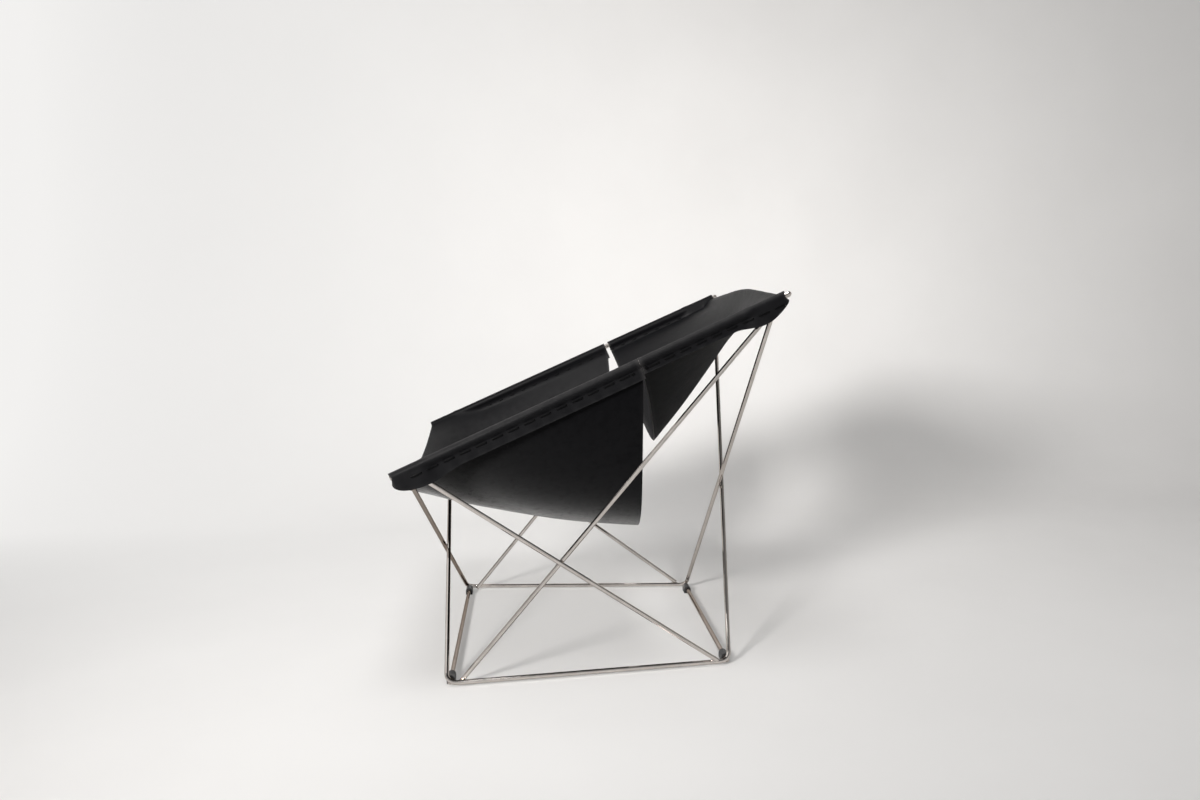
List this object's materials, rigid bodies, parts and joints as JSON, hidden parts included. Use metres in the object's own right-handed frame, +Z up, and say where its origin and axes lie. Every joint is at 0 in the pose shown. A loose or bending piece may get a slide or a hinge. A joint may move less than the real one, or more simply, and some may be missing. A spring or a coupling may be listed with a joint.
{
  "type": "sling lounge chair",
  "caption": "Low lounge chair with a welded steel rod frame of crossing legs and braces, and leather seat and back slings laced round its side rails.",
  "frame": {"origin": "middle of the chair's footprint box, on the floor", "axes": "+Z up, -Y towards the front of the chair, +X to the sitter's left"},
  "size_m": [0.7488, 0.6754, 0.6753],
  "materials": {
    "frame_steel": "satin nickel-plated round rod, welded",
    "sling_leather": "thick black saddle leather with a fine grain and cut edges",
    "lace_leather": "flat black leather lace, a little glossier than the slings",
    "glide_plastic": "black moulded plastic"
  },
  "bodies": {
    "root": {"left_base_rod": "frame_steel", "left_rail": "frame_steel", "left_back_brace": "frame_steel", "left_seat_brace": "frame_steel", "front_left_glide": "glide_plastic", "rear_left_glide": "glide_plastic", "seat_left_lace": "lace_leather", "back_left_lace": "lace_leather", "right_base_rod": "frame_steel", "right_rail": "frame_steel", "right_back_brace": "frame_steel", "right_seat_brace": "frame_steel", "front_right_glide": "glide_plastic", "rear_right_glide": "glide_plastic", "seat_right_lace": "lace_leather", "back_right_lace": "lace_leather", "front_floor_bar": "frame_steel", "rear_floor_bar": "frame_steel", "seat_sling": "sling_leather", "back_sling": "sling_leather"}
  },
  "joints": []
}
